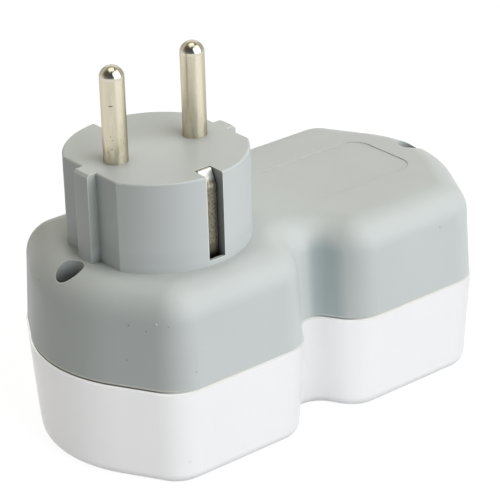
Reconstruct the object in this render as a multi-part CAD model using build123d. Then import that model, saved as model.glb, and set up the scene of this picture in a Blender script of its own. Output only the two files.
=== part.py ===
from build123d import *
from math import atan2, cos, degrees, radians, sin, tan
import os

# Two-way adapter for earthed plugs with 4.8 mm pins: a rear housing with the plug on it and a front
# housing with two round socket recesses, screwed together over brass contacts.
# Millimetres. +Z runs along the plug pins, +X from the plug's lobe to the other one.
# The origin is the middle of the socket face, which the adapter stands on.

# Plug
plug_radius = 18.0
plug_height = 18.25
plug_edge = 0.4
rib_width = 4.2
rib_depth = 2.1
rib_chamfer = 0.5
plug_wall = 2.2
plug_face_wall = 3.0
pin_spacing = 19.0
pin_radius = 2.4
pin_length = 19.2
pin_dome = 1.9
pin_shoulder = 0.4
pin_fit = 0.05
pin_boss_wall = 2.0

# Earth strips of the plug, standing in a slot on either side
strip_width = 3.1
strip_sheet = 0.8
strip_inset = 1.7
strip_lead = 3.2
strip_lean = 1.5
strip_bend = 0.9
slot_side_play = 0.35
slot_back_play = 0.05
slot_floor = 1.0
slot_sill = 0.8
slot_wall = 1.8

# Socket recesses
recess_play = 1.5
recess_depth = 17.5
recess_wall = 1.8
recess_chamfer = 0.7
floor = 2.0
web = 5.7
cheek_play = 0.5
cheek_setback = 1.5
notch_play = 0.4
pin_hole_play = 0.35
pin_hole_chamfer = 0.6

# Body outline at the seam, as distances from the recess to the outside
side_rim = 6.2
end_rim = 7.1
waist_rim = 6.75
facet_angle = 30.0
corner_radius = 8.5
waist_radius = 3.5
front_draft = 3.8
front_edge = 2.3
rear_draft = 2.75
rear_edge = 6.35
seam_edge = 0.3
wall = 2.2
top_wall = 1.8
seam_rise = 1.0
tongue_width = 0.9
tongue_height = 1.2
tongue_play = 0.1

# Bare marking panel on the lobe without a plug
panel_length = 29.0
panel_width = 18.6
panel_corner = 4.0
panel_depth = 0.15

# Contacts
busbar_sheet = 0.8
busbar_width = 4.0
busbar_inner_bend = 0.25
busbar_gap = 0.6
contact_sheet = 0.6
contact_width = 5.0
contact_grip = 0.1
contact_neck_height = 4.0
contact_flare = 0.9
contact_bend = 0.8
contact_lift = 0.8
tenon_radius = 1.3
tenon_lip = 0.7
tenon_land = 1.9
tenon_head = 0.5
tip_gap = 0.1

# Earth frames, one under each recess floor, with a clip on either side of the recess
clip_width = 6.0
clip_sheet = 0.7
clip_bow = 3.2
clip_bow_height = 7.0
clip_tip_height = 13.5
clip_bend = 1.0
clip_gap = 0.45
clip_slot_play = 0.4
link_width = 3.8
link_sheet = 0.7
link_gap = 0.3
rivet_radius = 1.0
rivet_lip = 0.4
rivet_land = 0.2
rivet_head = 0.6

# Housing screws
screw_web = 2.05
screw_hole_wall = 1.2
screw_seat = 6.0
screw_radius = 1.5
screw_length = 17.0
screw_lip = 1.0
screw_head = 2.0
screw_head_play = 0.25
screw_head_chamfer = 0.7
screw_cross = 0.9
screw_cross_depth = 1.1
screw_play = 0.1
boss_wall = 2.0

# Moulded rib and post inside the rear housing
rib_sheet = 1.0
rib_gap = 0.45
rib_length = 11.0
rib_height = 8.0
post_radius = 2.5

# Places worked out from the sizes above
plug_flat = plug_radius - rib_depth
recess_radius = plug_radius + recess_play
lobe_x = recess_radius + web / 2
body_half_width = recess_radius + side_rim
end_radius = recess_radius + end_rim
waist_distance = recess_radius + waist_rim
cheek_x = plug_flat + cheek_play
notch_x = plug_radius + cheek_play
pin_x = pin_spacing / 2
screw_x = lobe_x + recess_radius + screw_web
pin_root_radius = pin_radius - pin_shoulder
tenon_head_radius = tenon_radius + tenon_lip
pad_radius = tenon_radius + tenon_land
contact_neck = pin_radius - contact_grip + contact_sheet / 2
contact_mouth = contact_neck + contact_flare - contact_sheet / 2
contact_base = tenon_head_radius + contact_flare
rib_y = contact_base + contact_sheet / 2 + rib_gap
busbar_offset = rib_y + rib_sheet + busbar_gap + busbar_width / 2
rivet_head_radius = rivet_radius + rivet_lip
screw_head_radius = screw_radius + screw_lip
screw_hole_radius = screw_head_radius + screw_head_play

floor_z = recess_depth + floor
seam_z = floor_z + seam_rise
head_z = recess_depth + pin_length + tip_gap
base_z = head_z + tenon_head
busbar_z = base_z + contact_sheet
ceiling_z = busbar_z + busbar_sheet
top_z = ceiling_z + top_wall
face_z = top_z + plug_height
pin_tip_z = face_z + pin_length
rear_inset = (top_z - seam_z) * tan(radians(rear_draft))
slot_half = strip_width / 2 + slot_side_play
strip_y = plug_radius - strip_inset - strip_sheet / 2
slot_back = strip_y - strip_sheet / 2 - strip_lean - slot_back_play
frame_top_z = floor_z + clip_sheet
clip_y = recess_radius - clip_gap - clip_sheet / 2
foot_rivet_y = strip_y - strip_bend - rivet_land - rivet_head_radius
foot_end_y = foot_rivet_y - rivet_head_radius - rivet_land
link_y = foot_end_y - link_gap - link_width / 2
screw_seat_z = seam_z + screw_seat
NEAR = 0.001
PAST = 1.0


def post(radius, low, high, x=0.0, y=0.0):
    """Upright cylinder between two heights."""
    centred = (Align.CENTER, Align.CENTER, Align.MIN)
    return Pos(x, y, low) * Cylinder(radius, high - low, align=centred)


def block(x_range, y_range, z_range):
    """Box between two values on each axis."""
    corner = (x_range[0], y_range[0], z_range[0])
    size = (x_range[1] - x_range[0], y_range[1] - y_range[0], z_range[1] - z_range[0])
    return Pos(*corner) * Box(*size, align=(Align.MIN, Align.MIN, Align.MIN))


def lobes(shape):
    """The shape at the middle of both lobes."""
    return [Pos(x, 0, 0) * shape for x in (-lobe_x, lobe_x)]


def ends(shape):
    """The shape and its copy turned half round Z."""
    return [shape, Rot(0, 0, 180) * shape]


def plan(grow):
    """Outline of the body at the seam, moved out by grow all round: two six-sided lobes with round ends."""
    across = cos(radians(facet_angle))
    along = sin(radians(facet_angle))
    half_width = body_half_width + grow
    end = end_radius + grow
    waist = waist_distance + grow
    waist_y = (waist - lobe_x * across) / along
    inner_x = lobe_x - (waist - half_width * along) / across
    outer_x = lobe_x + (end - half_width * along) / across
    tangent_x = lobe_x + end * across
    quarter = [(0, waist_y), (inner_x, half_width), (outer_x, half_width), (tangent_x, end * along)]
    upper = quarter[::-1] + [(-x, y) for x, y in quarter[1:]]
    lower = [(-x, -y) for x, y in upper]
    left_end = ThreePointArc(upper[-1], (-lobe_x - end, 0), lower[0])
    right_end = ThreePointArc(lower[-1], (lobe_x + end, 0), upper[0])
    face = make_face(Polyline(*upper) + left_end + Polyline(*lower) + right_end)
    corners = [v for v in face.vertices() if abs(abs(v.Y) - half_width) < NEAR]
    face = fillet(corners, corner_radius + grow)
    notches = [v for v in face.vertices() if abs(v.X) < NEAR]
    return fillet(notches, waist_radius - grow)


def drafted(inset, height, angle):
    """Solid that rises from the body's outline, moved in by inset, with walls that lean in by the angle."""
    prism = extrude(plan(-inset), height)
    walls = [f for f in prism.faces() if abs(f.normal_at().Z) < NEAR]
    return draft(walls, Plane.XY, angle)


def seam_ring(outer, inner, low, high):
    """Rim that follows the seam between two insets from the outside."""
    return Pos(0, 0, low) * extrude(plan(-outer) - plan(-inner), high - low)


def bent_strip(points, bend, sheet, width):
    """Sheet strip bent along a line in the YZ plane."""
    line = FilletPolyline(*points, radius=bend)
    return extrude(Plane.YZ * trace(line, line_width=sheet), width / 2, both=True)


def plug_plan(inset, ribs):
    """Round plug outline with two flats, and the rib on each flat where asked for."""
    outline = Circle(plug_radius - inset) & Rectangle(2 * (plug_flat - inset), 2 * plug_radius)
    if ribs:
        outline += Circle(plug_radius) & Rectangle(2 * plug_radius, rib_width)
    return outline


def plug_body():
    """The plug with its rounded face edge and the chamfered tops of its side ribs."""
    root = top_z - rear_edge
    body = extrude(Pos(0, 0, root) * plug_plan(0, True), face_z - root)
    rim = body.faces().sort_by(Axis.Z)[-1].edges()
    rib_ends = [e for e in rim if abs(e.center().X) > (plug_flat + plug_radius) / 2]
    body = chamfer(rib_ends, rib_chamfer)
    rim = body.faces().sort_by(Axis.Z)[-1].edges()
    round_edges = [e for e in rim if abs(e.center().Y) > rib_width]
    return Pos(-lobe_x, 0, 0) * fillet(round_edges, plug_edge)


def plug_hollow():
    """Space inside the plug round the pin bosses and the walls of the earth slots."""
    low = ceiling_z - PAST
    hollow = extrude(Pos(0, 0, low) * plug_plan(plug_wall, False), face_z - plug_face_wall - low)
    for side in (-1, 1):
        hollow -= post(pin_root_radius + pin_fit + pin_boss_wall, ceiling_z, face_z, side * pin_x)
        walls = block((-slot_half - slot_wall, slot_half + slot_wall),
                      (slot_back - slot_wall, plug_radius), (low, face_z))
        hollow -= Rot(0, 0, 90 - 90 * side) * walls
    return Pos(-lobe_x, 0, 0) * hollow


def earth_slot():
    """Slot in the plug's side, open at the face, with a way down into the body behind a sill."""
    across = (-slot_half, slot_half)
    groove = block(across, (slot_back, plug_radius + PAST), (top_z + slot_floor, face_z + PAST))
    passage = block(across, (slot_back, plug_radius - slot_sill), (seam_z, face_z))
    return groove + passage


def rear_cavity():
    """Inside of the rear housing, one wall thickness in from the outline at the seam."""
    shallow = ceiling_z - seam_z
    cavity = drafted(wall, shallow, rear_draft)
    edge = min(rear_edge - wall, corner_radius - wall - shallow * tan(radians(rear_draft)) - NEAR)
    return Pos(0, 0, seam_z) * fillet(cavity.faces().sort_by(Axis.Z)[-1].edges(), edge)


def rear_housing():
    """Grey housing: body shell set back from the seam's edge, plug, screw columns, ribs and the bare
    marking panel."""
    body = drafted(seam_edge, top_z - seam_z, rear_draft)
    edge = min(rear_edge, corner_radius - seam_edge - rear_inset - NEAR)
    body = Pos(0, 0, seam_z) * fillet(body.faces().sort_by(Axis.Z)[-1].edges(), edge)
    column = post(screw_hole_radius + screw_hole_wall, seam_z, top_z, screw_x) & body
    cavity = rear_cavity()
    inside = cavity - ends(column)
    inside -= post(post_radius, frame_top_z, top_z, lobe_x)
    inside -= block((lobe_x - pin_x - rib_length / 2, lobe_x - pin_x + rib_length / 2),
                    (-rib_y - rib_sheet, -rib_y), (ceiling_z - rib_height, top_z))
    housing = body + plug_body() - inside - plug_hollow()
    for side in (-1, 1):
        housing -= post(pin_root_radius + pin_fit, ceiling_z, face_z + PAST, -lobe_x + side * pin_x)
        housing -= Pos(-lobe_x, 0, 0) * Rot(0, 0, 90 - 90 * side) * earth_slot()
        housing -= post(screw_hole_radius, screw_seat_z, top_z + PAST, side * screw_x)
        housing -= post(screw_radius + screw_play, seam_z, screw_seat_z, side * screw_x)
    housing -= seam_ring(wall - tongue_width - tongue_play, wall + tongue_play,
                         seam_z, seam_z + tongue_height + tongue_play)
    panel = RectangleRounded(panel_length, panel_width, panel_corner)
    housing -= Pos(lobe_x, 0, top_z - panel_depth) * extrude(panel, panel_depth)
    return housing


def socket_cheek():
    """Guide on one side of a recess, with the notch for a plug's side rib."""
    low = cheek_setback
    side = post(recess_radius + recess_wall / 2, low, recess_depth + floor / 2)
    side &= block((cheek_x, recess_radius + recess_wall), (-recess_radius, recess_radius), (low, floor_z))
    notch_half = rib_width / 2 + notch_play
    return side - block((0, notch_x), (-notch_half, notch_half), (low, recess_depth))


def clip_slot():
    """Opening in the recess floor that an earth clip comes through."""
    half = clip_width / 2 + clip_slot_play
    inner = clip_y - clip_sheet / 2 - clip_bend - clip_slot_play
    return block((-half, half), (inner, recess_radius), (recess_depth - PAST, floor_z + PAST)) & post(
        recess_radius, 0, floor_z + PAST)


def front_housing():
    """White housing: outer shell, two recesses with their guides, screw bosses and the seam tongue."""
    down = Pos(0, 0, seam_z) * Rot(180, 0, 0)
    shell = down * drafted(0, seam_z, front_draft)
    shell = fillet(shell.faces().sort_by(Axis.Z)[0].edges(), front_edge)
    shell = chamfer(shell.faces().sort_by(Axis.Z)[-1].edges(), seam_edge)
    inside = down * drafted(wall, seam_z - wall, front_draft)
    inside -= lobes(post(recess_radius + recess_wall, 0, floor_z))
    inside -= ends(post(screw_radius + screw_play + boss_wall, 0, seam_z, screw_x))
    housing = shell - inside
    housing -= lobes(post(recess_radius, 0, recess_depth))
    mouths = [e for e in housing.edges().filter_by(GeomType.CIRCLE)
              if abs(e.radius - recess_radius) < NEAR and e.center().Z < NEAR]
    housing = chamfer(mouths, recess_chamfer)
    for turn in (0, 180):
        housing += lobes(Rot(0, 0, turn) * socket_cheek())
        housing -= lobes(Rot(0, 0, turn) * clip_slot())
        pin_hole = post(pin_radius + pin_hole_play, recess_depth - PAST, floor_z + PAST, pin_x)
        lead = Cone(pin_radius + pin_hole_play + pin_hole_chamfer, pin_radius + pin_hole_play,
                    pin_hole_chamfer, align=(Align.CENTER, Align.CENTER, Align.MIN))
        pin_hole += Pos(pin_x, 0, recess_depth) * lead
        housing -= lobes(Rot(0, 0, turn) * pin_hole)
    housing -= ends(post(screw_radius + screw_play, screw_seat_z - screw_length - PAST, seam_z, screw_x))
    tongue_inset = wall - tongue_width
    housing += seam_ring(tongue_inset, wall, seam_z - PAST, seam_z + tongue_height)
    return housing


def plug_pin():
    """Turned pin: domed tip, shank that stands on the plug's face, thinner root through the plug, and a tenon
    riveted over under the contact."""
    shoulder_z = pin_tip_z - pin_dome
    dome_radius = (pin_radius ** 2 + pin_dome ** 2) / (2 * pin_dome)
    dome_z = pin_tip_z - dome_radius
    start = degrees(atan2(shoulder_z - dome_z, pin_radius))
    dome = CenterArc((0, dome_z), dome_radius, start, 90 - start)
    side = Polyline((0, pin_tip_z), (0, head_z), (tenon_head_radius, head_z), (tenon_head_radius, base_z),
                    (tenon_radius, base_z), (tenon_radius, ceiling_z), (pin_root_radius, ceiling_z),
                    (pin_root_radius, face_z), (pin_radius, face_z), (pin_radius, shoulder_z))
    return revolve(Plane.XZ * make_face(side + dome), Axis.Z)


def busbar():
    """Flat strip from the plug pin's contact to the matching one in the other socket."""
    start = -lobe_x - pin_x
    finish = lobe_x - pin_x
    route = FilletPolyline((start, 0), (start, busbar_offset), (finish, busbar_offset), (finish, 0),
                           radius=busbar_inner_bend + busbar_width / 2)
    flat = trace(route, line_width=busbar_width)
    for x in (start, finish):
        flat += Pos(x, 0) * Circle(pad_radius)
    for x in (start, finish):
        flat -= Pos(x, 0) * Circle(tenon_radius)
    return Pos(0, 0, busbar_z) * extrude(flat, busbar_sheet)


def socket_contact():
    """Folded pair of spring leaves that grip a plug pin, hanging from a base with a rivet hole."""
    middle = base_z + contact_sheet / 2
    low = floor_z + contact_lift
    half = [(contact_mouth, low), (contact_neck, low + contact_neck_height), (contact_base, middle)]
    leaves = bent_strip([(-y, z) for y, z in half] + half[::-1], contact_bend, contact_sheet, contact_width)
    return leaves - post(tenon_radius, base_z - PAST, busbar_z + PAST)


def contact_rivet():
    """Rivet that joins a contact to its busbar, flush on top with its head below."""
    return post(tenon_radius, base_z, ceiling_z) + post(tenon_head_radius, head_z, base_z)


def earth_frame(rivet_holes):
    """U-shaped strip across a recess floor whose bowed ends are the earth clips of the socket."""
    middle = floor_z + clip_sheet / 2
    half = [(clip_y, recess_depth - clip_tip_height), (clip_y - clip_bow, recess_depth - clip_bow_height),
            (clip_y, recess_depth), (clip_y, middle)]
    frame = bent_strip([(-y, z) for y, z in half] + half[::-1], clip_bend, clip_sheet, clip_width)
    for y in rivet_holes:
        frame -= post(rivet_radius, floor_z - PAST, frame_top_z + PAST, 0, y)
    return frame


def earth_link():
    """Straight strip that joins the two earth frames."""
    half = link_width / 2
    link = block((-lobe_x - half, lobe_x + half), (link_y - half, link_y + half),
                 (frame_top_z, frame_top_z + link_sheet))
    return link - lobes(post(rivet_radius, floor_z, seam_z + PAST, 0, link_y))


def plug_earth_strip():
    """Earth contact of the plug: leaning lead-in at the face, long leg, and a foot on the earth frame."""
    foot_z = frame_top_z + strip_sheet / 2
    line = [(strip_y - strip_lean, face_z), (strip_y, face_z - strip_lead), (strip_y, foot_z),
            (foot_end_y, foot_z)]
    strip = bent_strip(line, strip_bend, strip_sheet, strip_width)
    strip &= block((-strip_width, strip_width), (0, plug_radius), (floor_z, face_z))
    return strip - post(rivet_radius, floor_z, seam_z + PAST, 0, foot_rivet_y)


def earth_rivet(sheet, y):
    """Rivet through an earth frame and a sheet on it, flush below with its head on top."""
    head = frame_top_z + sheet
    return post(rivet_radius, floor_z, head, 0, y) + post(rivet_head_radius, head, head + rivet_head, 0, y)


def housing_screw():
    """Pan-head screw with a cross recess, from the rear housing into the front one."""
    top = screw_seat_z + screw_head
    screw = post(screw_radius, screw_seat_z - screw_length, screw_seat_z)
    head = post(screw_head_radius, screw_seat_z, top)
    head = chamfer(head.edges().sort_by(Axis.Z)[-1], screw_head_chamfer)
    arm = screw_head_radius - screw_head_chamfer
    half = screw_cross / 2
    for x, y in ((arm, half), (half, arm)):
        head -= block((-x, x), (-y, y), (top - screw_cross_depth, top + PAST))
    return screw + head


def all_pieces():
    """Every separate piece of the adapter in its place, by name."""
    pin = plug_pin()
    contact = socket_contact()
    rivet = contact_rivet()
    line_bar = busbar()
    strip = plug_earth_strip()
    half_turn = Rot(0, 0, 180)
    plug_at = Pos(-lobe_x, 0, 0)
    other_at = Pos(lobe_x, 0, 0)
    strip_rivet = earth_rivet(strip_sheet, foot_rivet_y)
    link_rivet = earth_rivet(link_sheet, link_y)
    return {
        "rear_housing": rear_housing(),
        "front_housing": front_housing(),
        "line_pin": Pos(-lobe_x - pin_x, 0, 0) * pin,
        "neutral_pin": Pos(-lobe_x + pin_x, 0, 0) * pin,
        "line_busbar": line_bar,
        "neutral_busbar": half_turn * line_bar,
        "line_contact_a": Pos(-lobe_x - pin_x, 0, 0) * contact,
        "line_contact_b": Pos(lobe_x - pin_x, 0, 0) * contact,
        "neutral_contact_a": Pos(-lobe_x + pin_x, 0, 0) * contact,
        "neutral_contact_b": Pos(lobe_x + pin_x, 0, 0) * contact,
        "line_rivet": Pos(lobe_x - pin_x, 0, 0) * rivet,
        "neutral_rivet": Pos(lobe_x + pin_x, 0, 0) * rivet,
        "earth_frame_a": plug_at * earth_frame([link_y, foot_rivet_y, -foot_rivet_y]),
        "earth_frame_b": other_at * earth_frame([link_y]),
        "earth_link": earth_link(),
        "earth_link_rivet_a": plug_at * link_rivet,
        "earth_link_rivet_b": other_at * link_rivet,
        "plug_earth_strip_back": plug_at * strip,
        "plug_earth_strip_front": plug_at * half_turn * strip,
        "plug_earth_rivet_back": plug_at * strip_rivet,
        "plug_earth_rivet_front": plug_at * half_turn * strip_rivet,
        "housing_screw_left": Pos(-screw_x, 0, 0) * housing_screw(),
        "housing_screw_right": Pos(screw_x, 0, 0) * housing_screw(),
    }


os.makedirs("parts", exist_ok=True)
for name, piece in all_pieces().items():
    export_step(piece, f"parts/{name}.step")
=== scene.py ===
"""Looks of the multi socket adapter: materials, light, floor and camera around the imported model."""

import math

import bpy
from mathutils import Matrix, Vector

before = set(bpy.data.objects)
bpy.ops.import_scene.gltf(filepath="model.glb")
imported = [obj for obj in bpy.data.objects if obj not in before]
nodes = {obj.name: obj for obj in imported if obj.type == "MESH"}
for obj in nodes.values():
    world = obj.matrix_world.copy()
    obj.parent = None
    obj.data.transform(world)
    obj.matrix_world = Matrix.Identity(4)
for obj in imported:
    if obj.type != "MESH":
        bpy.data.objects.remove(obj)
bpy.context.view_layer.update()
scene = bpy.context.scene
MM = 0.001


# Node trees

MIX_SHARE, MIX_FIRST, MIX_SECOND, MIX_RESULT = 0, 6, 7, 2  # sockets of a Mix node for colours
RELIEF = 0.02 * MM  # height of every bump at full strength


def add(tree, kind, inputs=None, **settings):
    """Adds a node with these settings. An input goes by its name or number, and takes a number, a
    colour, a vector or another node's output."""
    made = tree.nodes.new(kind)
    for name, value in settings.items():
        setattr(made, name, value)
    for key, value in (inputs or {}).items():
        if isinstance(value, bpy.types.NodeSocket):
            tree.links.new(value, made.inputs[key])
        else:
            made.inputs[key].default_value = value
    return made


def new_material(name):
    """An empty node material and its tree."""
    material = bpy.data.materials.new(name)
    material.use_nodes = True
    material.node_tree.nodes.clear()
    return material, material.node_tree


def close(tree, shader):
    """Joins the last shader to the material's output."""
    add(tree, "ShaderNodeOutputMaterial", {"Surface": shader})


def math_node(tree, operation, first, second):
    """A number from two numbers."""
    return add(tree, "ShaderNodeMath", {0: first, 1: second}, operation=operation).outputs[0]


def product(tree, first, second):
    """One number times another."""
    return math_node(tree, "MULTIPLY", first, second)


def larger(tree, first, second):
    """The larger of two numbers."""
    return math_node(tree, "MAXIMUM", first, second)


def vector_math(tree, operation, first, second):
    """A number from two vectors."""
    made = add(tree, "ShaderNodeVectorMath", {0: first, 1: second}, operation=operation)
    return made.outputs["Value"]


def axes_of(tree, vector):
    """A vector's numbers, under X, Y and Z."""
    return add(tree, "ShaderNodeSeparateXYZ", {"Vector": vector}).outputs


def remap(tree, value, low, high, to_low=0.0, to_high=1.0):
    """A value's range, clamped and scaled to another range."""
    made = add(tree, "ShaderNodeMapRange", {
        "Value": value, "From Min": low, "From Max": high, "To Min": to_low, "To Max": to_high})
    return made.outputs["Result"]


def ramp(tree, axis, start, end, first, last):
    """A number that goes from first to last between two places on an axis, in millimetres."""
    return remap(tree, axis, start * MM, end * MM, first, last)


def band(tree, axis, low, high, soft):
    """1 between two places on an axis, fading to 0 over a soft width on both sides, in
    millimetres."""
    rise = ramp(tree, axis, low - soft, low, 0.0, 1.0)
    return product(tree, rise, ramp(tree, axis, high, high + soft, 1.0, 0.0))


def blend(tree, share, first, second):
    """A colour between two colours."""
    made = add(tree, "ShaderNodeMix", {MIX_SHARE: share, MIX_FIRST: first, MIX_SECOND: second},
               data_type="RGBA")
    return made.outputs[MIX_RESULT]


def noise(tree, place, scale, detail=2.0, roughness=0.5):
    """Cloudy noise about 0.5."""
    made = add(tree, "ShaderNodeTexNoise", {
        "Vector": place, "Scale": scale, "Detail": detail, "Roughness": roughness})
    return made.outputs["Fac"]


def object_place(tree):
    """Places in the part's own frame, in metres."""
    return add(tree, "ShaderNodeTexCoord").outputs["Object"]


def stretched(tree, place, scale):
    """Places scaled along the axes, for streaks."""
    return add(tree, "ShaderNodeMapping", {"Vector": place, "Scale": scale}).outputs["Vector"]


def bump(tree, height, strength, **inputs):
    """The normal of a fine relief, on top of another normal where one is given."""
    made = add(tree, "ShaderNodeBump", {
        "Height": height, "Strength": strength, "Distance": RELIEF, **inputs})
    return made.outputs["Normal"]


def rgb(red, green, blue):
    """A colour as nodes take it."""
    return (red, green, blue, 1.0)


# Places that the colours follow, in millimetres along X or Z: two for a ramp, and for a band the
# soft width outside them as well

SEAM_END_X = (-41.0, -34.5)         # the housings stand apart at the plug's end and meet along here
SEAM_GAP_X = (-41.0, -38.0)         # the painted shade in the gap between them runs out sooner
SEAM_WAIST_X = (3.2, 6.2, 1.5)      # they stand apart, though less, in the waist too
SEAM_LIP_Z = (20.22, 20.6, 0.04)
SEAM_DARK_Z = (20.57, 20.80, 0.05)
SEAM_PALE_Z = (20.98, 21.14, 0.06)
WAIST_X = (2.2, 4.6, 1.5)
WAIST_TOP_Z = (35.0, 38.0)
PANEL_X = (5.0, 40.0, 0.1)          # the marking panel on the lobe without a plug
PANEL_Z = (39.6, 39.7)
PLUG_FOOT_Z = (42.0, 44.0)
SLOT_X = (-26.2, -18.5, 0.1)        # the earth slots in the plug
SLOT_FOOT_Z = (41.2, 41.4)
STRIP_SILL_Z = (38.0, 40.0)         # the earth strips in those slots
STRIP_FOOT_Z = (41.6, 44.6)
STRIP_MOUTH_Z = (56.6, 57.2)
PIN_STAIN_Z = (60.0, 69.0)
PIN_DOME_Z = (75.40, 75.70)

# Single marks: x, y, z and radius in millimetres

GREY_MARKS = [(-42.61, -16.25, 33.61, 0.30), (-40.88, -19.30, 32.93, 0.24),
              (-38.28, -22.86, 34.32, 0.22), (-43.17, -15.96, 26.43, 0.20),
              (-33.96, -25.17, 24.22, 0.24), (-46.82, 6.27, 36.25, 0.26),
              (29.04, -24.75, 34.09, 0.26)]
# A painted highlight: a glint drawn into the grey's colour
GREY_GLINTS = [(-39.71, -21.11, 34.68, 0.30)]
WHITE_MARKS = [(-35.69, -24.27, 5.01, 0.55), (-35.41, -24.02, 1.47, 0.45)]
PIN_DOTS = [(-33.82, -1.37, 64.50, 0.16), (-33.73, -1.50, 61.87, 0.20),
            (-34.13, -0.74, 61.35, 0.20), (-33.55, -1.70, 63.80, 0.14)]
PIN_SCRATCH = (-33.62, -1.62, 70.66, 0.62)
SCRATCH_FLATNESS = 5.0

# Noise scales along the three axes, for streaks

ALONG_Z = (5200.0, 5200.0, 260.0)
ALONG_X = (260.0, 5200.0, 5200.0)
STAIN_STRETCH = (2.0, 2.0, 0.7)
NOISE_SPAN = (0.3, 0.7)             # most of what a noise gives


# Plastics

# Colours of a painted glint, of painted shade in hollows and the waist, and of the seam's lines
GLINT = rgb(0.95, 0.95, 0.93)
PAINTED_HOLLOW_SHADE = rgb(0.02, 0.02, 0.018)
# colour of the painted shade in the waist
WAIST = rgb(0.0, 0.17, 0.21)
WAIST_SHADE = 0.28
SEAM_LIP = rgb(0.66, 0.66, 0.635)
SEAM_HIGHLIGHT = rgb(0.84, 0.82, 0.74)
SEAM_GAP_SHADE = rgb(0.115, 0.110, 0.085)
SEAM_WAIST_SHARE = 0.5
SPECK_CORE, SPOT_CORE = 0.6, 0.4    # share of a mark's radius that has its full colour
CORNER_REACH = 7.5 * MM             # how far away a wall still adds painted shade to a corner
CORNER_SHARES = (0.16, 0.46)        # painted shade in corners below the plug and on it
CORNER_FREE = (0.88, 0.45)          # how free a corner is where shade starts and is full
DEEP_FREE = (0.55, 0.12)            # the same deep in slots and holes
OUTER_FREE = (0.55, 0.75)           # how free an edge is where its painted highlight starts and is full
EDGE_REACH = 0.38 * MM              # half the width of that painted highlight
EDGE_BEND = (0.985, 0.90)           # how straight the surface is where the line starts and is full
SLOT_BEND = (0.995, 0.95)           # the same along the plug's slots
SLOT_EDGE = 1.3                     # the line's strength along the slots
PANEL_LOSS = 0.6                    # what it loses along the marking panel
EDGE_ROUND = 0.14 * MM              # how far an edge is rounded off for the light
SHEEN_SPREAD = 0.05
MASK_SAMPLES, ROUND_SAMPLES = 8, 6


def specks(tree, place, scale, size, share):
    """Sparse round dust specks: 1 in a speck, 0 elsewhere."""
    cells = add(tree, "ShaderNodeTexVoronoi", {"Vector": place, "Scale": scale})
    chance = add(tree, "ShaderNodeSeparateColor", {"Color": cells.outputs["Color"]})
    near = remap(tree, cells.outputs["Distance"], size * SPECK_CORE, size, 1.0, 0.0)
    kept = math_node(tree, "LESS_THAN", chance.outputs["Red"], share)
    return product(tree, near, kept)


def spots(tree, place, centres):
    """1 in the middle of each of these marks, 0 outside them."""
    mask = 0.0
    for x, y, z, radius in centres:
        gap = vector_math(tree, "DISTANCE", place, Vector((x, y, z)) * MM)
        mask = larger(tree, ramp(tree, gap, radius * SPOT_CORE, radius, 1.0, 0.0), mask)
    return mask


def seam(tree, axes, colour):
    """The colour with the seam drawn in. At the plug's end and in the waist the housings stand a
    hair apart, with a line of painted shade in the gap below a painted highlight; elsewhere the
    lower one's lip is a little duller than its walls."""
    middle = product(tree, band(tree, axes["X"], *SEAM_WAIST_X), SEAM_WAIST_SHARE)
    apart = larger(tree, ramp(tree, axes["X"], *SEAM_END_X, 1.0, 0.0), middle)
    closed = math_node(tree, "SUBTRACT", 1.0, apart)
    gap = larger(tree, ramp(tree, axes["X"], *SEAM_GAP_X, 1.0, 0.0), middle)
    for heights, share, tone in ((SEAM_LIP_Z, closed, SEAM_LIP), (SEAM_PALE_Z, apart, SEAM_HIGHLIGHT),
                                 (SEAM_DARK_Z, gap, SEAM_GAP_SHADE)):
        line = product(tree, band(tree, axes["Z"], *heights), share)
        colour = blend(tree, line, colour, tone)
    return colour


def hollows(tree, axes, free):
    """Share of painted shade: 0 on open surfaces, a little in corners, more so on the plug, and up
    to 1 deep in slots and holes. Free is 1 where nothing stands near."""
    strength = ramp(tree, axes["Z"], *PLUG_FOOT_Z, *CORNER_SHARES)
    corner = product(tree, remap(tree, free, *CORNER_FREE), strength)
    return larger(tree, corner, remap(tree, free, *DEEP_FREE))


def waist(tree, axes):
    """Painted shade in the waist between the lobes, up to where it runs out under the top."""
    across = band(tree, axes["X"], *WAIST_X)
    return product(tree, across, ramp(tree, axes["Z"], *WAIST_TOP_Z, WAIST_SHADE, 0.0))


def edges(tree, axes, free):
    """Share of painted highlight: 1 along sharp outer edges, a little more along those of the plug's
    slots and less along the shallow edge of the marking panel, and 0 elsewhere."""
    rounded = add(tree, "ShaderNodeBevel", {"Radius": EDGE_REACH}, samples=MASK_SAMPLES)
    normal = add(tree, "ShaderNodeNewGeometry").outputs["Normal"]
    straight = vector_math(tree, "DOT_PRODUCT", rounded.outputs["Normal"], normal)
    panel = product(tree, band(tree, axes["X"], *PANEL_X),
                    ramp(tree, axes["Z"], *PANEL_Z, 0.0, PANEL_LOSS))
    rest = math_node(tree, "SUBTRACT", 1.0, panel)
    sharp = product(tree, remap(tree, straight, *EDGE_BEND), rest)
    slot = product(tree, band(tree, axes["X"], *SLOT_X),
                   ramp(tree, axes["Z"], *SLOT_FOOT_Z, 0.0, SLOT_EDGE))
    slot = product(tree, slot, remap(tree, straight, *SLOT_BEND))
    return product(tree, larger(tree, sharp, slot), remap(tree, free, *OUTER_FREE))


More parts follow.
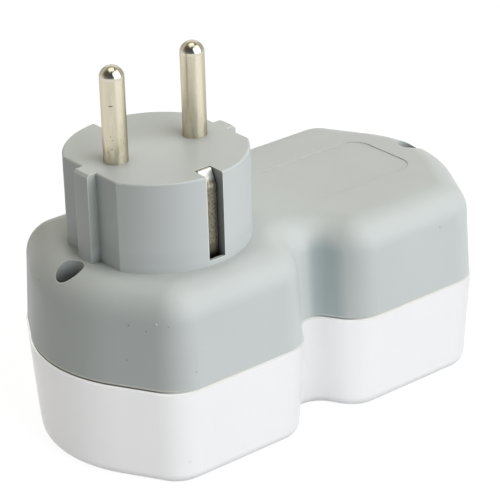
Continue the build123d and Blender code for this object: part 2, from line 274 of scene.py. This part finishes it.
def plastic(name, pale, deep, roughness, shine, grain, dust, marks, mark_tone, glints, highlight_tone,
            highlight_share, shade_share):
    """Moulded plastic: faint clouds of colour, fine grain, dust, marks, painted glints, soft edges
    with painted highlights along them, painted shade in the hollows and the waist, the seam drawn
    in, and an uneven satin sheen."""
    material, tree = new_material(name)
    place = object_place(tree)
    axes = axes_of(tree, place)
    clouds = remap(tree, noise(tree, place, scale=70.0, detail=4.0), 0.32, 0.68)
    colour = blend(tree, clouds, deep, pale)
    dusty = specks(tree, place, scale=95.0, size=0.026, share=0.30)
    colour = blend(tree, dusty, colour, dust)
    colour = blend(tree, spots(tree, place, marks), colour, mark_tone)
    # painted highlight: glints drawn in as pale spots
    colour = blend(tree, spots(tree, place, glints), colour, GLINT)
    near = add(tree, "ShaderNodeAmbientOcclusion", {"Distance": CORNER_REACH},
               samples=MASK_SAMPLES)
    free = near.outputs["AO"]
    # Painted shade in hollows and the waist, and painted highlights along the edges
    for mask, share, tone in ((hollows(tree, axes, free), shade_share, PAINTED_HOLLOW_SHADE),
                              (waist(tree, axes), shade_share, WAIST),
                              (edges(tree, axes, free), highlight_share, highlight_tone)):
        colour = blend(tree, product(tree, mask, share), colour, tone)
    colour = seam(tree, axes, colour)
    uneven = noise(tree, place, scale=220.0, detail=5.0, roughness=0.6)
    rough = remap(tree, uneven, *NOISE_SPAN, roughness - SHEEN_SPREAD, roughness + SHEEN_SPREAD)
    fine = noise(tree, place, scale=5200.0, detail=3.0, roughness=0.6)
    flow = noise(tree, place, scale=130.0)
    height = math_node(tree, "ADD", product(tree, fine, grain), flow)
    soft = add(tree, "ShaderNodeBevel", {"Radius": EDGE_ROUND}, samples=ROUND_SAMPLES)
    normal = bump(tree, height, strength=0.25, Normal=soft.outputs["Normal"])
    surface = add(tree, "ShaderNodeBsdfPrincipled", {
        "Base Color": colour, "Roughness": rough, "Specular IOR Level": shine, "Normal": normal})
    close(tree, surface.outputs["BSDF"])
    return material


# Metals

EARTH_PALE, EARTH_DEEP = rgb(0.285, 0.265, 0.205), rgb(0.135, 0.122, 0.088)
EARTH_FOOT_SHADE, EARTH_MOUTH = rgb(0.020, 0.018, 0.012), rgb(0.60, 0.595, 0.565)
FOOT_SHADE_SHARE = 0.92
NICKEL_PALE, NICKEL_DEEP = rgb(0.715, 0.665, 0.53), rgb(0.65, 0.595, 0.46)
NICKEL_DOME, NICKEL_RIM = rgb(0.66, 0.625, 0.53), rgb(0.66, 0.64, 0.58)
STAIN, DOT, SCRATCH = rgb(0.42, 0.35, 0.22), rgb(0.26, 0.21, 0.14), rgb(0.05, 0.045, 0.035)
STAIN_SHARE = 0.75
SHAFT_ROUGHNESS = (0.26, 0.34)
DOME_ROUGHNESS = 0.19


def metal(tree, colour, rough, normal, gloss=None):
    """A bare metal shader. Gloss holds those of its other inputs that aren't left plain."""
    made = add(tree, "ShaderNodeBsdfPrincipled", {
        "Base Color": colour, "Metallic": 1.0, "Roughness": rough, "Normal": normal,
        **(gloss or {})})
    close(tree, made.outputs["BSDF"])


def plated(name, pale, deep, roughness, streak):
    """Plated or bare sheet metal, with fine marks drawn along one axis and small stains."""
    material, tree = new_material(name)
    place = object_place(tree)
    drawn = noise(tree, stretched(tree, place, streak), scale=1.0, detail=4.0, roughness=0.6)
    stain = noise(tree, place, scale=420.0, detail=4.0, roughness=0.6)
    colour = blend(tree, remap(tree, stain, 0.35, 0.7), pale, deep)
    rough = remap(tree, drawn, *NOISE_SPAN, roughness - 0.06, roughness + 0.08)
    metal(tree, colour, rough, bump(tree, drawn, strength=0.12))
    return material


def earth_plate():
    """Dull grainy plate. In the plug's slots it is paler at the mouth, and painted shade darkens it
    to near black at the foot."""
    material, tree = new_material("earth_plate")
    place = object_place(tree)
    height = axes_of(tree, place)["Z"]
    grain = noise(tree, place, scale=2600.0, roughness=0.7)
    colour = blend(tree, remap(tree, grain, 0.38, 0.66), EARTH_PALE, EARTH_DEEP)
    # painted shade deep in the slot, towards the foot
    foot = product(tree, ramp(tree, height, *STRIP_FOOT_Z, FOOT_SHADE_SHARE, 0.0),
                   ramp(tree, height, *STRIP_SILL_Z, 0.0, 1.0))
    colour = blend(tree, foot, colour, EARTH_FOOT_SHADE)
    mouth = ramp(tree, height, *STRIP_MOUTH_Z, 0.0, 1.0)
    colour = blend(tree, mouth, colour, EARTH_MOUTH)
    rough = remap(tree, grain, *NOISE_SPAN, 0.30, 0.42)
    metal(tree, colour, rough, bump(tree, grain, strength=0.25))
    return material


def turned_nickel():
    """Turned and plated pins: fine rings round the shaft draw highlights out along it, and the
    dome is polished. The plate has dots, a scratch and brown stains towards the foot."""
    material, tree = new_material("nickel_plate")
    place = object_place(tree)
    height = axes_of(tree, place)["Z"]
    drawn = noise(tree, stretched(tree, place, ALONG_Z), scale=1.0, detail=4.0, roughness=0.6)
    colour = blend(tree, remap(tree, drawn, *NOISE_SPAN), NICKEL_PALE, NICKEL_DEEP)
    low = ramp(tree, height, *PIN_STAIN_Z, STAIN_SHARE, 0.0)
    stain = noise(tree, stretched(tree, place, STAIN_STRETCH), scale=520.0, detail=4.0,
                  roughness=0.65)
    stained = product(tree, low, remap(tree, stain, 0.5, 0.72))
    colour = blend(tree, stained, colour, STAIN)
    colour = blend(tree, spots(tree, place, PIN_DOTS), colour, DOT)
    x, y, z, length = PIN_SCRATCH
    flattened = stretched(tree, place, (1.0, 1.0, SCRATCH_FLATNESS))
    scratch = spots(tree, flattened, [(x, y, z * SCRATCH_FLATNESS, length)])
    colour = blend(tree, scratch, colour, SCRATCH)
    polish = ramp(tree, height, *PIN_DOME_Z, 0.0, 1.0)
    colour = blend(tree, polish, colour, NICKEL_DOME)
    shaft = remap(tree, drawn, *NOISE_SPAN, *SHAFT_ROUGHNESS)
    rough = add(tree, "ShaderNodeMix", {"Factor": polish, "A": shaft, "B": DOME_ROUGHNESS},
                data_type="FLOAT")
    ring = add(tree, "ShaderNodeTangent", direction_type="RADIAL", axis="Z")
    metal(tree, colour, rough.outputs["Result"], bump(tree, drawn, strength=0.10), {
        "Specular Tint": NICKEL_RIM, "Anisotropic": 0.8, "Anisotropic Rotation": 0.25,
        "Tangent": ring.outputs["Tangent"]})
    return material


# Finishes of the nodes

grey = plastic(
    "grey_plastic", pale=rgb(0.640, 0.674, 0.668), deep=rgb(0.623, 0.656, 0.651), roughness=0.42,
    shine=0.40, grain=0.5, dust=rgb(0.30, 0.29, 0.27), marks=GREY_MARKS,
    mark_tone=rgb(0.42, 0.43, 0.415), glints=GREY_GLINTS, highlight_tone=rgb(0.95, 0.94, 0.88),
    highlight_share=0.80, shade_share=0.9)
white = plastic(
    "white_plastic", pale=rgb(0.868, 0.864, 0.874), deep=rgb(0.853, 0.849, 0.857), roughness=0.33,
    shine=0.50, grain=0.3, dust=rgb(0.70, 0.68, 0.64), marks=WHITE_MARKS,
    mark_tone=rgb(0.79, 0.785, 0.775), glints=[], highlight_tone=rgb(0.92, 0.92, 0.91),
    highlight_share=0.1, shade_share=0.04)
nickel = turned_nickel()
brass = plated("brass", rgb(0.80, 0.63, 0.34), rgb(0.70, 0.52, 0.27), 0.30, ALONG_X)
earth = earth_plate()
steel = plated("screw_steel", rgb(0.58, 0.58, 0.57), rgb(0.47, 0.47, 0.46), 0.33, ALONG_Z)

# A node takes the first of these that its name contains.
FINISHES = {
    "rear_housing": grey,
    "front_housing": white,
    "rivet": brass,
    "earth": earth,
    "pin": nickel,
    "busbar": brass,
    "contact": brass,
    "screw": steel,
}
for name, node in nodes.items():
    node.data.materials.clear()
    node.data.materials.append(next(FINISHES[word] for word in FINISHES if word in name))


# Floor

FLOOR_SIZE = 8.0
FLOOR_GAP = 0.05 * MM           # keeps the floor from touching the socket face
FLOOR_GLOW = 0.935              # with the light on it, this makes the floor just white
FLOOR_TONES = (rgb(0.40, 0.40, 0.395), rgb(0.42, 0.42, 0.415))
FLOOR_LIT = rgb(0.14, 0.14, 0.15)  # what the light adds to the glow, except in the shadow


def floor_material():
    """A pale floor: white to the camera and in reflections, apart from the shadow on it, and plain
    matt for all else."""
    material, tree = new_material("pale_floor")
    tone = blend(tree, noise(tree, object_place(tree), scale=9.0), *FLOOR_TONES)
    matt = add(tree, "ShaderNodeBsdfDiffuse", {"Color": tone})
    shown = add(tree, "ShaderNodeBsdfDiffuse", {"Color": FLOOR_LIT})
    glow = add(tree, "ShaderNodeEmission", {"Color": rgb(1, 1, 1), "Strength": FLOOR_GLOW})
    pale = add(tree, "ShaderNodeAddShader", {0: shown.outputs[0], 1: glow.outputs[0]})
    rays = add(tree, "ShaderNodeLightPath").outputs
    seen = larger(tree, rays["Is Camera Ray"], rays["Is Glossy Ray"])
    seen = larger(tree, seen, rays["Is Transmission Ray"])
    mixed = add(tree, "ShaderNodeMixShader", {
        "Fac": seen, 1: matt.outputs[0], 2: pale.outputs[0]})
    close(tree, mixed.outputs[0])
    return material


def square_floor():
    """The floor just under the part."""
    half = FLOOR_SIZE / 2
    mesh = bpy.data.meshes.new("floor")
    corners = [(-half, -half, 0), (half, -half, 0), (half, half, 0), (-half, half, 0)]
    mesh.from_pydata(corners, [], [(0, 1, 2, 3)])
    mesh.materials.append(floor_material())
    made = bpy.data.objects.new("floor", mesh)
    made.matrix_world = Matrix.Translation((0, 0, -FLOOR_GAP))
    scene.collection.objects.link(made)
    return made


floor = square_floor()


# Light

LAMP_AIM = Vector((0, 0, 30 * MM))
LAMP_DISTANCE = 1.0
PLAIN = (1.0, 0.99, 0.97)
# Each lamp's direction from the part, its side in metres, its watts and its colour
LAMPS = {
    "key": ((0.313, -0.807, 0.50), 1.30, 11.7, PLAIN),
    "overhead": ((0.03, 0.08, 1.0), 0.70, 2.4, (1.0, 0.96, 0.80)),
    "back": ((0.63, 0.78, 0.42), 0.80, 1.1, PLAIN),
    "left": ((-0.75, 0.65, 0.12), 0.80, 0.35, PLAIN),
}
# The photograph's tones lift the white against the grey, so these shine on the white housing only.
WHITE_LAMPS = {
    "fill": ((-0.82, -0.52, 0.25), 0.80, 5.3, (1.0, 0.99, 1.0)),
    "rear": ((0.06, 0.97, 0.19), 0.60, 4.5, PLAIN),
    "end": ((0.93, 0.40, 0.19), 0.60, 2.6, PLAIN),
}
# The room, away from the key lamp and on its side
CEILING = (rgb(0.14, 0.12, 0.06), rgb(0.04, 0.06, 0.10))
WALLS = (rgb(0.76, 0.76, 0.76), rgb(0.44, 0.64, 0.74))
BACKDROP = rgb(0.62, 0.60, 0.55)
KEY_SIDE = Vector((0.45, -0.75, 0.30)).normalized()
BEHIND = Vector((0.627, 0.779, 0.0))
WALL_TOP = (0.05, 0.26)         # sines of the heights where the walls end
BACKDROP_TOP = (0.70, 0.90)


def area_light(name, toward, size, power, colour):
    """A square soft light that looks at the part from the given direction."""
    lamp = bpy.data.lights.new(name, "AREA")
    lamp.size, lamp.energy, lamp.color = size, power, colour
    made = bpy.data.objects.new(name, lamp)
    back = Vector(toward).normalized()
    made.location = LAMP_AIM + back * LAMP_DISTANCE
    made.rotation_mode = "QUATERNION"
    made.rotation_quaternion = (-back).to_track_quat("-Z", "Y")
    scene.collection.objects.link(made)
    return made


for name, settings in LAMPS.items():
    area_light(name, *settings)
filled = bpy.data.collections.new("filled")
filled.objects.link(nodes["front_housing"])
for name, settings in WHITE_LAMPS.items():
    area_light(name, *settings).light_linking.receiver_collection = filled


def studio_world():
    """A plain studio: pale walls along the horizon, a dim ceiling and, in reflections, the pale
    backdrop behind the part."""
    world = bpy.data.worlds.new("studio")
    scene.world = world
    world.use_nodes = True
    tree = world.node_tree
    tree.nodes.clear()
    way = add(tree, "ShaderNodeTexCoord").outputs["Generated"]
    height = axes_of(tree, way)["Z"]
    side = remap(tree, vector_math(tree, "DOT_PRODUCT", way, KEY_SIDE), -0.7, 0.8)
    ceiling = blend(tree, side, *CEILING)
    walls = blend(tree, side, *WALLS)
    tone = blend(tree, remap(tree, height, *WALL_TOP, 1.0, 0.0), ceiling, walls)
    behind = remap(tree, vector_math(tree, "DOT_PRODUCT", way, BEHIND), 0.0, 0.35)
    backdrop = product(tree, behind, remap(tree, height, *BACKDROP_TOP, 1.0, 0.0))
    mirrored = add(tree, "ShaderNodeLightPath").outputs["Is Glossy Ray"]
    tone = blend(tree, product(tree, backdrop, mirrored), tone, BACKDROP)
    soft = add(tree, "ShaderNodeBackground", {"Color": tone, "Strength": 1.0})
    add(tree, "ShaderNodeOutputWorld", {"Surface": soft.outputs[0]})


studio_world()
scene.view_settings.view_transform = "Standard"


# Camera

AZIMUTH, ELEVATION, ROLL = (math.radians(angle) for angle in (-38.80, 25.519, -1.63))
TARGET = Vector((-0.049, 0.0, 29.677)) * MM
DISTANCE = 482.29 * MM
LENS, SENSOR = 172.30, 36.0
CLIP_START, CLIP_END = 10 * MM, 100.0


def photo_camera():
    """The camera at the photograph's place and angle."""
    data = bpy.data.cameras.new("camera")
    data.lens, data.sensor_width = LENS, SENSOR
    data.clip_start, data.clip_end = CLIP_START, CLIP_END
    back = Vector((math.sin(AZIMUTH) * math.cos(ELEVATION),
                   -math.cos(AZIMUTH) * math.cos(ELEVATION), math.sin(ELEVATION)))
    level = Vector((math.cos(AZIMUTH), math.sin(AZIMUTH), 0.0))
    upright = back.cross(level)
    right = level * math.cos(ROLL) + upright * math.sin(ROLL)
    up = upright * math.cos(ROLL) - level * math.sin(ROLL)
    made = bpy.data.objects.new("camera", data)
    turned = Matrix((right, up, back)).transposed().to_4x4()
    made.matrix_world = Matrix.Translation(TARGET + back * DISTANCE) @ turned
    scene.collection.objects.link(made)
    scene.camera = made


photo_camera()
